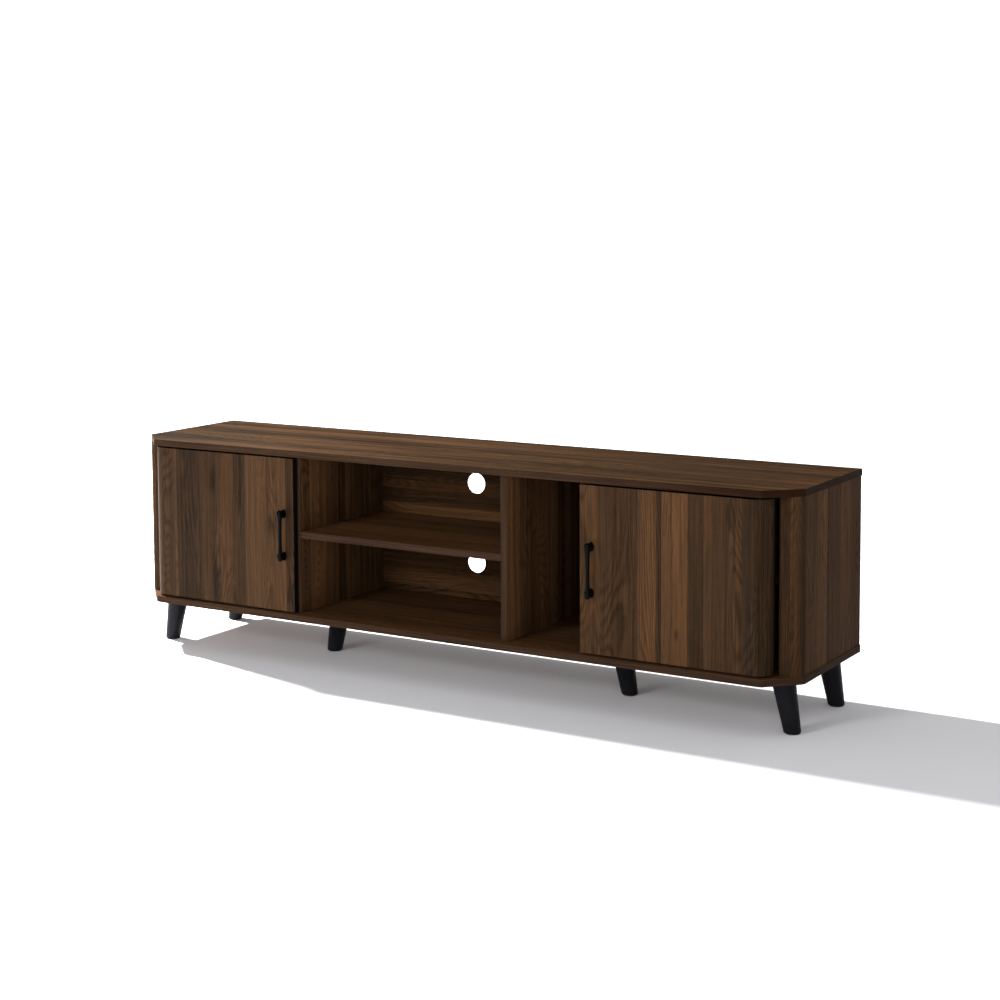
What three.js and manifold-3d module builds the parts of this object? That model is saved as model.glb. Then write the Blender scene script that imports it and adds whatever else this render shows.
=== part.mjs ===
// Low television stand with two hinged doors, in millimetres, +Z up.
// The width runs along X, the front faces -Y and the floor is Z = 0.
import * as THREE from 'three';
import Module from 'manifold-3d';
import { mergeVertices } from 'three/addons/utils/BufferGeometryUtils.js';

const wasm = await Module();
wasm.setup();

// Overall size
const WIDTH = 1800;
const PANEL_DEPTH = 400;
const HANDLE_BEYOND_PANEL = 20;
const LEG_HEIGHT = 117;
const BODY_HEIGHT = 418;
const BOARD = 16;

// Horizontal panels
const CHAMFER = 70;
const BOTTOM_CORNER_RADIUS = 18;

// Depth levels, all measured back from the panels' front edge
const FRONT = -(PANEL_DEPTH + HANDLE_BEYOND_PANEL) / 2 + HANDLE_BEYOND_PANEL;
const REAR = FRONT + PANEL_DEPTH;
const DOOR_FACE = FRONT + 4;
const DOOR_BACK = DOOR_FACE + BOARD;
const DIVIDER_FRONT = FRONT + 22.5;
const POST_FRONT = FRONT + 52;
const POST_BACK = POST_FRONT + 2 * BOARD;
const BACK_PANEL_FRONT = FRONT + 374;

// Height levels
const FLOOR_OF_BODY = LEG_HEIGHT + BOARD;
const CEILING = LEG_HEIGHT + BODY_HEIGHT - BOARD;
const INNER_HEIGHT = CEILING - FLOOR_OF_BODY;
const MID_HEIGHT = (CEILING + FLOOR_OF_BODY) / 2;
const SHELF_BOTTOM = MID_HEIGHT - BOARD / 2;

// Upright boards, by the X of their faces on the right-hand half
const SIDE_OUTER = 898;
const SIDE_INNER = SIDE_OUTER - BOARD;
const POST_INNER = 847;
const POST_RADIUS = 24;
const POST_INNER_RADIUS = 5;
const OUTER_DIVIDER = 388;
const MID_DIVIDER = 180;

// Back panel
const BACK_THICK = 3;
const GROOVE_DEPTH = 6;
const GROOVE_CLEARANCE = 0.25;
const BACK_INTO_GROOVE = 5.5;
const CABLE_HOLE_RADIUS = 26;
const CABLE_HOLE_X = (MID_DIVIDER - OUTER_DIVIDER) / 2;

// Doors
const DOOR_GAP = 5;
const DOOR_BOTTOM = FLOOR_OF_BODY + DOOR_GAP;
const DOOR_HEIGHT = INNER_HEIGHT - 2 * DOOR_GAP;
const DOOR_FREE_EDGE = 395;
const DOOR_END = 843;
const DOOR_END_RADIUS = 36;
const DOOR_EDGE_RADIUS = 1.5;
const END_BLOCK_WIDTH = 60;
const END_BLOCK_THICK = 44;
const PIVOT_X = DOOR_END - DOOR_END_RADIUS;
const PIVOT_Y = DOOR_FACE + DOOR_END_RADIUS;

// Pivot hinges
const PIN_RADIUS = 3;
const PIN_LENGTH = 15;
const BRACKET_THICK = 2;
const BRACKET_WIDTH = 18;
const BRACKET_REACH = 46;
const BUSH_RADIUS = 5.5;
const BUSH_BORE = 3.08;
const BUSH_LENGTH = 14;
const BUSH_SEAT_GAP = 0.25;

// Handles
const HANDLE_X = 424;
const HANDLE_REACH = 24;
const HANDLE_POST_SPACING = 104;
const HANDLE_POST_RADIUS = 10.5;
const HANDLE_POST_FLATNESS = 0.62;
const HANDLE_BAR_CENTRE = 17.5;
const HANDLE_BAR_WAIST = 4.2;
const HANDLE_BAR_NECK = 4.6;
const HANDLE_BAR_END = 5.4;
const SCREW_RADIUS = 2;
const SCREW_HEAD_RADIUS = 4;
const SCREW_HEAD_THICK = 2.5;
const SCREW_INTO_HANDLE = 8;
const SCREW_CLEARANCE = 0.3;

// Legs
const LEG_TOP_RADIUS = 26.5;
const LEG_FOOT_RADIUS = 19;
const LEG_FOOT_BEVEL = 2.5;
const LEG_SPLAY = 0.195;
const LEG_PLATE_THICK = 4;
const LEG_PLATE_RADIUS = 31;
const LEG_SIDE_X = 842;
const LEG_MID_X = 398;
const LEG_FRONT_Y = FRONT + 96;
const LEG_REAR_Y = REAR - 49;
const LEG_MID_Y = FRONT + 199;

// Loose shelves and their pins
const SHELF_SIDE_GAP = 1;
const LOOSE_SHELF_FRONT = POST_BACK + 14;
const LOOSE_SHELF_REAR = BACK_PANEL_FRONT - 6;
const SHELF_PIN_RADIUS = 2.5;
const SHELF_PIN_LENGTH = 16;
const SHELF_PIN_CLEARANCE = 0.25;
const SHELF_PIN_DEPTH = 8;
const SHELF_PIN_BORE_EXTRA = 0.5;
const SHELF_PIN_INSET = 32;

// Magnetic catches
const CATCH_WIDTH = 14;
const CATCH_DEPTH = 24;
const CATCH_HEIGHT = 40;
const CATCH_Z = CEILING - 70;
const STRIKE_THICK = 1.5;
const STRIKE_BORDER = 1;
const CATCH_GAP = 0.5;

// Facets per full circle, and per curve of a plan outline
const ROUND_SEGMENTS = 48;
const BORE_SEGMENTS = 32;
const SCREW_SEGMENTS = 16;
const HANDLE_SEGMENTS = 24;
const LARGE_CURVE_SEGMENTS = 20;
const SMALL_CURVE_SEGMENTS = 8;

// How far a cutting tool stands out beyond the face it enters
const CUT_MARGIN = 1;

const looks = {
  walnut: { color: 0x5c4334, roughness: 0.55, metalness: 0 },
  walnutDark: { color: 0x46352b, roughness: 0.6, metalness: 0 },
  blackPlastic: { color: 0x2b2b2d, roughness: 0.42, metalness: 0 },
  blackMetal: { color: 0x1d1d1f, roughness: 0.35, metalness: 0.6 },
  steel: { color: 0xa9abad, roughness: 0.3, metalness: 1 },
  nylon: { color: 0x6d6a63, roughness: 0.5, metalness: 0 },
};

const stand = new THREE.Group();

function addPiece(name, geometry, look) {
  const mesh = new THREE.Mesh(geometry, new THREE.MeshStandardMaterial(looks[look]));
  mesh.name = name;
  stand.add(mesh);
  return mesh;
}

// Closed geometry to solid and back, for cuts and joins
function toSolid(geometry) {
  const bare = geometry.clone();
  bare.deleteAttribute('normal');
  bare.deleteAttribute('uv');
  const merged = mergeVertices(bare, 1e-4);
  return new wasm.Manifold(new wasm.Mesh({
    numProp: 3,
    vertProperties: new Float32Array(merged.attributes.position.array),
    triVerts: new Uint32Array(merged.index.array),
  }));
}

function toGeometry(solid) {
  const mesh = solid.getMesh();
  const geometry = new THREE.BufferGeometry();
  geometry.setAttribute('position', new THREE.BufferAttribute(mesh.vertProperties, 3));
  geometry.setIndex(new THREE.BufferAttribute(mesh.triVerts, 1));
  geometry.computeVertexNormals();
  return geometry;
}

function cut(geometry, tools) {
  const result = tools.reduce((solid, tool) => solid.subtract(toSolid(tool)), toSolid(geometry));
  return toGeometry(result);
}

function join(parts) {
  return toGeometry(parts.map(toSolid).reduce((solid, part) => solid.add(part)));
}

// Box between two opposite corners
function boxBetween(low, high) {
  const size = high.map((value, axis) => value - low[axis]);
  const centre = high.map((value, axis) => (value + low[axis]) / 2);
  return new THREE.BoxGeometry(...size).translate(...centre);
}

// Plan outline pushed up from one height to another
function raise(shape, bottom, height, curveSegments = SMALL_CURVE_SEGMENTS) {
  const options = { depth: height, bevelEnabled: false, curveSegments };
  return new THREE.ExtrudeGeometry(shape, options).translate(0, 0, bottom);
}

// Round bar between two heights, standing at x, y
function uprightBar(x, y, bottom, top, radius, segments = BORE_SEGMENTS) {
  const geometry = new THREE.CylinderGeometry(radius, radius, top - bottom, segments);
  return geometry.rotateX(Math.PI / 2).translate(x, y, (bottom + top) / 2);
}

// Round bar lying along Y, centred on x, z
function barAlongY(x, z, from, to, radius, segments = ROUND_SEGMENTS) {
  const geometry = new THREE.CylinderGeometry(radius, radius, to - from, segments);
  return geometry.translate(x, (from + to) / 2, z);
}

// Round bar lying along X, centred on y, z
function barAlongX(y, z, from, to, radius, segments = SCREW_SEGMENTS) {
  const geometry = new THREE.CylinderGeometry(radius, radius, Math.abs(to - from), segments);
  return geometry.rotateZ(Math.PI / 2).translate((from + to) / 2, y, z);
}

// Reverse a right-hand geometry onto the left side
function mirrorX(geometry) {
  const copy = geometry.index ? geometry.clone() : mergeVertices(geometry);
  copy.scale(-1, 1, 1);
  const order = copy.index.array;
  for (let i = 0; i < order.length; i += 3) {
    [order[i], order[i + 1]] = [order[i + 1], order[i]];
  }
  return copy;
}

// Add a right-hand piece and its mirrored twin
function addPair(name, geometry, look) {
  addPiece(`right_${name}`, geometry, look);
  addPiece(`left_${name}`, mirrorX(geometry), look);
}

// Groove that holds the back panel's edge, as a box to cut away
function backGroove(low, high) {
  const near = BACK_PANEL_FRONT - GROOVE_CLEARANCE;
  const far = BACK_PANEL_FRONT + BACK_THICK + GROOVE_CLEARANCE;
  return boxBetween([low[0], near, low[1]], [high[0], far, high[1]]);
}

// Panel outline seen from above, front corners cut at 45 degrees
function panelOutline(cornerRadius) {
  const half = WIDTH / 2;
  const corners = [
    [half, REAR], [-half, REAR],
    [-half, FRONT + CHAMFER], [-half + CHAMFER, FRONT],
    [half - CHAMFER, FRONT], [half, FRONT + CHAMFER],
  ];
  const shape = new THREE.Shape();
  const reach = cornerRadius * Math.tan(Math.PI / 8);
  corners.forEach(([x, y], i) => {
    const previous = new THREE.Vector2(...corners[(i + corners.length - 1) % corners.length]);
    const next = new THREE.Vector2(...corners[(i + 1) % corners.length]);
    const corner = new THREE.Vector2(x, y);
    const rounded = cornerRadius > 0 && y < REAR;
    const entry = corner.clone().add(previous.sub(corner).setLength(rounded ? reach : 0));
    const exit = corner.clone().add(next.sub(corner).setLength(rounded ? reach : 0));
    if (i === 0) {
      shape.moveTo(x, y);
    } else {
      shape.lineTo(entry.x, entry.y);
    }
    if (rounded) {
      shape.quadraticCurveTo(x, y, exit.x, exit.y);
    }
  });
  shape.closePath();
  return shape;
}

function addPanels() {
  const grooveEnd = SIDE_INNER + GROOVE_DEPTH;
  const top = raise(panelOutline(0), CEILING, BOARD);
  const topGroove = backGroove(
    [-grooveEnd, CEILING - CUT_MARGIN], [grooveEnd, CEILING + GROOVE_DEPTH]);
  addPiece('top_panel', cut(top, [topGroove]), 'walnut');
  const bottom = raise(panelOutline(BOTTOM_CORNER_RADIUS), LEG_HEIGHT, BOARD);
  const bottomGroove = backGroove(
    [-grooveEnd, FLOOR_OF_BODY - GROOVE_DEPTH], [grooveEnd, FLOOR_OF_BODY + CUT_MARGIN]);
  addPiece('bottom_panel', cut(bottom, [bottomGroove]), 'walnut');
}

// Corner post with a large outer round, which the door's end closes against
function addFrontPosts() {
  const shape = new THREE.Shape();
  shape.moveTo(POST_INNER, POST_BACK);
  shape.lineTo(POST_INNER, POST_FRONT + POST_INNER_RADIUS);
  shape.absarc(POST_INNER + POST_INNER_RADIUS, POST_FRONT + POST_INNER_RADIUS,
    POST_INNER_RADIUS, Math.PI, 1.5 * Math.PI, false);
  shape.absarc(SIDE_OUTER - POST_RADIUS, POST_FRONT + POST_RADIUS,
    POST_RADIUS, 1.5 * Math.PI, 2 * Math.PI, false);
  shape.lineTo(SIDE_OUTER, POST_BACK);
  shape.closePath();
  addPair('front_post', raise(shape, FLOOR_OF_BODY, INNER_HEIGHT, LARGE_CURVE_SEGMENTS), 'walnut');
}

// The two depths at which shelf pins stand in the walls
const pinDepths = [LOOSE_SHELF_FRONT + SHELF_PIN_INSET, LOOSE_SHELF_REAR - SHELF_PIN_INSET];
const pinHeight = SHELF_BOTTOM - SHELF_PIN_RADIUS - SHELF_PIN_CLEARANCE;

// Blind bores for the shelf pins in a wall whose face stands at faceX
function pinBores(faceX, into) {
  const end = faceX + into * (SHELF_PIN_DEPTH + SHELF_PIN_BORE_EXTRA);
  const radius = SHELF_PIN_RADIUS + SHELF_PIN_CLEARANCE;
  return pinDepths.map((y) => barAlongX(y, pinHeight, faceX - into * CUT_MARGIN, end, radius));
}

function addUprights() {
  const side = boxBetween([SIDE_INNER, POST_BACK, FLOOR_OF_BODY], [SIDE_OUTER, REAR, CEILING]);
  const sideGroove = backGroove(
    [SIDE_INNER - CUT_MARGIN, FLOOR_OF_BODY - CUT_MARGIN],
    [SIDE_INNER + GROOVE_DEPTH, CEILING + CUT_MARGIN]);
  addPair('side_panel', cut(side, [sideGroove, ...pinBores(SIDE_INNER, 1)]), 'walnut');
  const divider = boxBetween(
    [OUTER_DIVIDER, DIVIDER_FRONT, FLOOR_OF_BODY],
    [OUTER_DIVIDER + BOARD, BACK_PANEL_FRONT, CEILING]);
  addPair('divider', cut(divider, pinBores(OUTER_DIVIDER + BOARD, -1)), 'walnut');
  addPiece('middle_divider', boxBetween(
    [MID_DIVIDER, DIVIDER_FRONT, FLOOR_OF_BODY],
    [MID_DIVIDER + BOARD, BACK_PANEL_FRONT, CEILING]), 'walnut');
}

function addShelves() {
  addPiece('centre_shelf', boxBetween(
    [-OUTER_DIVIDER, DIVIDER_FRONT, SHELF_BOTTOM],
    [MID_DIVIDER, BACK_PANEL_FRONT, SHELF_BOTTOM + BOARD]), 'walnut');
  addPair('cupboard_shelf', boxBetween(
    [OUTER_DIVIDER + BOARD + SHELF_SIDE_GAP, LOOSE_SHELF_FRONT, SHELF_BOTTOM],
    [SIDE_INNER - SHELF_SIDE_GAP, LOOSE_SHELF_REAR, SHELF_BOTTOM + BOARD]), 'walnut');
  const shown = SHELF_PIN_LENGTH - SHELF_PIN_DEPTH;
  pinDepths.forEach((y, i) => {
    const place = i === 0 ? 'front' : 'rear';
    addPair(`outer_${place}_shelf_pin`, barAlongX(
      y, pinHeight, SIDE_INNER - shown, SIDE_INNER + SHELF_PIN_DEPTH, SHELF_PIN_RADIUS), 'steel');
    const face = OUTER_DIVIDER + BOARD;
    addPair(`inner_${place}_shelf_pin`, barAlongX(
      y, pinHeight, face - SHELF_PIN_DEPTH, face + shown, SHELF_PIN_RADIUS), 'steel');
  });
}

// Thin back sheet with one round cable hole behind each open centre bay
function addBackPanel() {
  const halfWidth = SIDE_INNER + BACK_INTO_GROOVE;
  const low = FLOOR_OF_BODY - BACK_INTO_GROOVE;
  const high = CEILING + BACK_INTO_GROOVE;
  const shape = new THREE.Shape();
  shape.moveTo(-halfWidth, low);
  shape.lineTo(halfWidth, low);
  shape.lineTo(halfWidth, high);
  shape.lineTo(-halfWidth, high);
  shape.closePath();
  const bays = [[FLOOR_OF_BODY, SHELF_BOTTOM], [SHELF_BOTTOM + BOARD, CEILING]];
  bays.forEach(([bayFloor, bayCeiling]) => {
    const hole = new THREE.Path();
    hole.absarc(CABLE_HOLE_X, (bayFloor + bayCeiling) / 2, CABLE_HOLE_RADIUS, 0, 2 * Math.PI, true);
    shape.holes.push(hole);
  });
  const sheet = raise(shape, 0, BACK_THICK, LARGE_CURVE_SEGMENTS);
  sheet.rotateX(Math.PI / 2).translate(0, BACK_PANEL_FRONT + BACK_THICK, 0);
  addPiece('back_panel', sheet, 'walnutDark');
}

// Door seen from above: a flat board whose outer end is a thick rounded block
function doorOutline() {
  const soft = DOOR_EDGE_RADIUS;
  const blockStart = DOOR_END - END_BLOCK_WIDTH;
  const shape = new THREE.Shape();
  shape.moveTo(DOOR_FREE_EDGE, DOOR_BACK);
  shape.lineTo(DOOR_FREE_EDGE, DOOR_FACE + soft);
  shape.absarc(DOOR_FREE_EDGE + soft, DOOR_FACE + soft, soft, Math.PI, 1.5 * Math.PI, false);
  shape.absarc(PIVOT_X, PIVOT_Y, DOOR_END_RADIUS, 1.5 * Math.PI, 2 * Math.PI, false);
  shape.lineTo(DOOR_END, DOOR_FACE + END_BLOCK_THICK);
  shape.lineTo(blockStart, DOOR_FACE + END_BLOCK_THICK);
  shape.lineTo(blockStart, DOOR_BACK);
  shape.closePath();
  return shape;
}

const handleScrewHeights = [-1, 1].map((side) => MID_HEIGHT + side * HANDLE_POST_SPACING / 2);

function addDoors() {
  const doorTop = DOOR_BOTTOM + DOOR_HEIGHT;
  const seat = BUSH_RADIUS + BUSH_SEAT_GAP;
  const screwHole = SCREW_RADIUS + SCREW_CLEARANCE;
  const tools = [
    uprightBar(PIVOT_X, PIVOT_Y, DOOR_BOTTOM - CUT_MARGIN, DOOR_BOTTOM + BUSH_LENGTH, seat),
    uprightBar(PIVOT_X, PIVOT_Y, doorTop - BUSH_LENGTH, doorTop + CUT_MARGIN, seat),
    ...handleScrewHeights.map((z) => barAlongY(
      HANDLE_X, z, DOOR_FACE - CUT_MARGIN, DOOR_BACK + CUT_MARGIN, screwHole, SCREW_SEGMENTS)),
  ];
  const blank = raise(doorOutline(), DOOR_BOTTOM, DOOR_HEIGHT, LARGE_CURVE_SEGMENTS);
  addPair('door', cut(blank, tools), 'walnut');
}

// Solid turned about Y from pairs of radius and place along the axis
function turned(profile, segments) {
  const points = profile.map(([radius, along]) => new THREE.Vector2(radius, along));
  return new THREE.LatheGeometry(points, segments);
}

// Bar pull: two flattened flared posts joined by a slim waisted bar
function addHandles() {
  const r = HANDLE_POST_RADIUS;
  const reach = HANDLE_REACH;
  const postProfile = [
    [0, 0], [r, 0], [r, 0.05 * reach], [0.88 * r, 0.24 * reach], [0.87 * r, 0.45 * reach],
    [0.96 * r, 0.62 * reach], [r, 0.74 * reach], [0.94 * r, 0.85 * reach],
    [0.72 * r, 0.94 * reach], [0.38 * r, 0.985 * reach], [0, reach],
  ];
  const posts = handleScrewHeights.map((z) => {
    const post = turned(postProfile, HANDLE_SEGMENTS).scale(HANDLE_POST_FLATNESS, 1, 1);
    return post.rotateZ(Math.PI).translate(HANDLE_X, DOOR_FACE, z);
  });
  const half = HANDLE_POST_SPACING / 2;
  const barHalf = [
    [HANDLE_BAR_NECK, 0.45 * half], [HANDLE_BAR_END, 0.8 * half],
    [HANDLE_BAR_END, half], [0, half],
  ];
  const lowerHalf = barHalf.map(([radius, along]) => [radius, -along]).reverse();
  const bar = turned([...lowerHalf, [HANDLE_BAR_WAIST, 0], ...barHalf], HANDLE_SEGMENTS);
  bar.rotateX(Math.PI / 2).translate(HANDLE_X, DOOR_FACE - HANDLE_BAR_CENTRE, MID_HEIGHT);
  const bores = handleScrewHeights.map((z) => barAlongY(
    HANDLE_X, z, DOOR_FACE - SCREW_INTO_HANDLE - CUT_MARGIN, DOOR_FACE + CUT_MARGIN,
    SCREW_RADIUS + SCREW_CLEARANCE, SCREW_SEGMENTS));
  addPair('handle', cut(join([...posts, bar]), bores), 'blackMetal');
}

// Screws that hold the handles, entered from inside the doors
function addHandleScrews() {
  const tip = DOOR_FACE - SCREW_INTO_HANDLE;
  const crown = DOOR_BACK + SCREW_HEAD_THICK;
  const profile = [
    [0, tip], [SCREW_RADIUS, tip], [SCREW_RADIUS, DOOR_BACK],
    [SCREW_HEAD_RADIUS, DOOR_BACK], [SCREW_HEAD_RADIUS, DOOR_BACK + 0.5 * SCREW_HEAD_THICK],
    [0.6 * SCREW_HEAD_RADIUS, crown], [0, crown],
  ];
  handleScrewHeights.forEach((z, i) => {
    const screw = turned(profile, SCREW_SEGMENTS).translate(HANDLE_X, 0, z);
    addPair(`handle_${i === 0 ? 'lower' : 'upper'}_screw`, screw, 'steel');
  });
}

// Pin bracket on a panel, and the bush in the door that turns on the pin
function addPivots() {
  const levels = [
    { name: 'lower', panel: FLOOR_OF_BODY, door: DOOR_BOTTOM, up: 1 },
    { name: 'upper', panel: CEILING, door: DOOR_BOTTOM + DOOR_HEIGHT, up: -1 },
  ];
  const half = BRACKET_WIDTH / 2;
  levels.forEach(({ name, panel, door, up }) => {
    const plate = new THREE.Shape();
    plate.moveTo(PIVOT_X - half, PIVOT_Y);
    plate.absarc(PIVOT_X, PIVOT_Y, half, Math.PI, 2 * Math.PI, false);
    plate.lineTo(PIVOT_X + half, PIVOT_Y + BRACKET_REACH);
    plate.lineTo(PIVOT_X - half, PIVOT_Y + BRACKET_REACH);
    plate.closePath();
    const plateBottom = up > 0 ? panel : panel - BRACKET_THICK;
    const pinRoot = panel + up * BRACKET_THICK / 2;
    const pinTip = panel + up * (BRACKET_THICK + PIN_LENGTH);
    const pin = uprightBar(PIVOT_X, PIVOT_Y,
      Math.min(pinRoot, pinTip), Math.max(pinRoot, pinTip), PIN_RADIUS);
    addPair(`${name}_pivot_bracket`,
      join([raise(plate, plateBottom, BRACKET_THICK), pin]), 'steel');
    const near = Math.min(door, door + up * (BUSH_LENGTH - BUSH_SEAT_GAP));
    const far = Math.max(door, door + up * (BUSH_LENGTH - BUSH_SEAT_GAP));
    const profile = [
      [BUSH_BORE, near], [BUSH_RADIUS, near], [BUSH_RADIUS, far], [BUSH_BORE, far],
      [BUSH_BORE, near],
    ];
    const bush = turned(profile, BORE_SEGMENTS).rotateX(Math.PI / 2);
    addPair(`${name}_door_bush`, bush.translate(PIVOT_X, PIVOT_Y, 0), 'nylon');
  });
}

// Magnet block on the divider and the steel strike on the back of the door
function addCatches() {
  const face = OUTER_DIVIDER + BOARD;
  const strikeBack = DOOR_BACK + STRIKE_THICK;
  const front = strikeBack + CATCH_GAP;
  addPair('magnetic_catch', boxBetween(
    [face, front, CATCH_Z], [face + CATCH_WIDTH, front + CATCH_DEPTH, CATCH_Z + CATCH_HEIGHT]),
  'blackPlastic');
  addPair('strike_plate', boxBetween(
    [face - STRIKE_BORDER, DOOR_BACK, CATCH_Z],
    [face + CATCH_WIDTH + STRIKE_BORDER, strikeBack, CATCH_Z + CATCH_HEIGHT]), 'steel');
}

// Tapered round leg whose foot leans outwards along the length of the stand
function legGeometry(x, y, lean) {
  const top = LEG_HEIGHT - LEG_PLATE_THICK;
  const foot = LEG_FOOT_RADIUS;
  const bevel = LEG_FOOT_BEVEL;
  const profile = [
    [0, 0], [foot - bevel, 0], [foot - bevel / 3, bevel / 3], [foot, bevel],
    [LEG_TOP_RADIUS, top], [0, top],
  ];
  const leg = turned(profile, ROUND_SEGMENTS).rotateX(Math.PI / 2);
  const shear = new THREE.Matrix4();
  shear.set(
    1, 0, -lean * LEG_SPLAY, x + lean * LEG_SPLAY * top,
    0, 1, 0, y,
    0, 0, 1, 0,
    0, 0, 0, 1);
  return leg.applyMatrix4(shear);
}

function addLegs() {
  const places = [
    { name: 'front_leg', x: LEG_SIDE_X, y: LEG_FRONT_Y },
    { name: 'rear_leg', x: LEG_SIDE_X, y: LEG_REAR_Y },
    { name: 'middle_leg', x: LEG_MID_X, y: LEG_MID_Y },
  ];
  const plateBottom = LEG_HEIGHT - LEG_PLATE_THICK;
  places.forEach(({ name, x, y }) => {
    addPair(name, legGeometry(x, y, 1), 'blackPlastic');
    addPair(`${name}_plate`, uprightBar(
      x, y, plateBottom, LEG_HEIGHT, LEG_PLATE_RADIUS, ROUND_SEGMENTS), 'blackMetal');
  });
}

addPanels();
addFrontPosts();
addUprights();
addShelves();
addBackPanel();
addDoors();
addHandles();
addHandleScrews();
addPivots();
addCatches();
addLegs();

export default stand;
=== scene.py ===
"""Looks for the television stand: laminate boards, handles, legs, small fittings, light and camera.

Everything is in metres in the part's own frame: +X along the width, -Y to the front, +Z up.
"""

import math
import random

import bmesh
import bpy
from mathutils import Matrix, Vector


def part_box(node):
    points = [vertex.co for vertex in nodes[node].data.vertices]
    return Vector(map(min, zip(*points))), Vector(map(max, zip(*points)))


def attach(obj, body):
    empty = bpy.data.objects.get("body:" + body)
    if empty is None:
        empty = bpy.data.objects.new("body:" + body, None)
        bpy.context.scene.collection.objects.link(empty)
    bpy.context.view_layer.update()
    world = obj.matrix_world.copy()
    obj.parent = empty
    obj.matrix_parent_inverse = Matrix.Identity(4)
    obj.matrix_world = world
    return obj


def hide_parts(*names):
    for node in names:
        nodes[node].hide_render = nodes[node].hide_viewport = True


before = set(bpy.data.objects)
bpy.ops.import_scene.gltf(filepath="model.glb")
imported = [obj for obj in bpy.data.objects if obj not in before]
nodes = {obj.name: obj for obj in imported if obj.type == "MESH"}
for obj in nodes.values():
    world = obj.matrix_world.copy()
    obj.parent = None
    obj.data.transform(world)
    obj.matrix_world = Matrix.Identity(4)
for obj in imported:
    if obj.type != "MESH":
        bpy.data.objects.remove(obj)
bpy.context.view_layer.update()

SIDES = {"left": -1, "right": 1}
MM = 0.001
BOARD = 16 * MM


# ---------------------------------------------------------------- node helpers


class Graph:
    """Builds one material's node tree; its drawing methods return an output socket."""

    def __init__(self, name):
        self.material = bpy.data.materials.new(name)
        self.material.use_nodes = True
        self.tree = self.material.node_tree
        self.shader = self.tree.nodes["Principled BSDF"]
        self.coordinates = self.tree.nodes.new("ShaderNodeTexCoord")

    def feed(self, socket, value):
        """Links a socket into another one, or sets a plain value on it."""
        if isinstance(value, bpy.types.NodeSocket):
            self.tree.links.new(value, socket)
        else:
            socket.default_value = value

    def math(self, operation, *values, clamp=False):
        made = self.tree.nodes.new("ShaderNodeMath")
        made.operation = operation
        made.use_clamp = clamp
        for socket, value in zip(made.inputs, values):
            self.feed(socket, value)
        return made.outputs[0]

    def sway(self, base, noise, amount):
        """base plus amount times a noise that is measured from its middle."""
        return self.math("MULTIPLY_ADD", self.math("SUBTRACT", noise, 0.5), amount, base)

    def split(self, vector):
        made = self.tree.nodes.new("ShaderNodeSeparateXYZ")
        self.feed(made.inputs[0], vector)
        return made.outputs

    def join(self, x, y, z):
        made = self.tree.nodes.new("ShaderNodeCombineXYZ")
        for socket, value in zip(made.inputs, (x, y, z)):
            self.feed(socket, value)
        return made.outputs[0]

    def noise(self, vector, scale=1.0, detail=2.0, roughness=0.5):
        made = self.tree.nodes.new("ShaderNodeTexNoise")
        self.feed(made.inputs["Vector"], vector)
        made.inputs["Scale"].default_value = scale
        made.inputs["Detail"].default_value = detail
        made.inputs["Roughness"].default_value = roughness
        return made.outputs[0]

    def ramp(self, factor, stops, constant=False):
        """Colour ramp; a stop is (position, grey value or colour)."""
        made = self.tree.nodes.new("ShaderNodeValToRGB")
        ramp = made.color_ramp
        ramp.interpolation = "CONSTANT" if constant else "LINEAR"
        while len(ramp.elements) < len(stops):
            ramp.elements.new(1.0)
        for element, (position, value) in zip(ramp.elements, stops):
            element.position = position
            grey = isinstance(value, (int, float))
            element.color = (value, value, value, 1) if grey else (*value, 1)
        self.feed(made.inputs[0], factor)
        return made.outputs[0]

    def mix(self, factor, first, second):
        """Mixes two colours; inputs 6 and 7 and output 2 are the node's colour sockets."""
        made = self.tree.nodes.new("ShaderNodeMix")
        made.data_type = "RGBA"
        self.feed(made.inputs[0], factor)
        for socket, value in ((made.inputs[6], first), (made.inputs[7], second)):
            self.feed(socket, (*value, 1) if isinstance(value, tuple) else value)
        return made.outputs[2]

    def spread(self, value, low, high, to_low=0.0, to_high=1.0):
        """Maps low..high onto to_low..to_high, held at both ends."""
        made = self.tree.nodes.new("ShaderNodeMapRange")
        for socket, number in zip(made.inputs, (value, low, high, to_low, to_high)):
            self.feed(socket, number)
        return made.outputs[0]

    def bump(self, height, distance, strength):
        made = self.tree.nodes.new("ShaderNodeBump")
        made.inputs["Strength"].default_value = strength
        made.inputs["Distance"].default_value = distance
        self.feed(made.inputs["Height"], height)
        self.feed(self.shader.inputs["Normal"], made.outputs[0])

    def surface(self, **values):
        """Sets the shader's inputs by name, with _ for a space, and returns the material."""
        for name, value in values.items():
            self.feed(self.shader.inputs[name.replace("_", " ")], value)
        return self.material


# ---------------------------------------------------------------- walnut print


# From the darkest to the lightest wood: a tone is a place from 0 to 1 on this scale.
WOOD_TONES = [
    (0.0, (0.009, 0.0050, 0.0025)),
    (0.25, (0.024, 0.0127, 0.0060)),
    (0.5, (0.046, 0.0225, 0.0098)),
    (0.75, (0.078, 0.0365, 0.0148)),
    (1.0, (0.120, 0.0580, 0.0240)),
]
GREY_WOOD = (0.040, 0.0255, 0.0160)

# Noise layers: cycles per metre across and along the grain, and depth in the noise.
RAGGED = (95.0, 18.0, 2.0)
BROAD = (30.0, 1.5, 0.0)
ARCHES = (10.0, 1.7, 5.0)
ARCH_PATCHES = (14.0, 2.4, 25.0)
FIBRES = (430.0, 6.0, 9.0)
STREAKS = (150.0, 1.6, 13.0)
PORES = (950.0, 34.0, 17.0)
GREY_PATCHES = (12.0, 1.1, 21.0)
PLANK_DEPTH = 37.0

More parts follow.
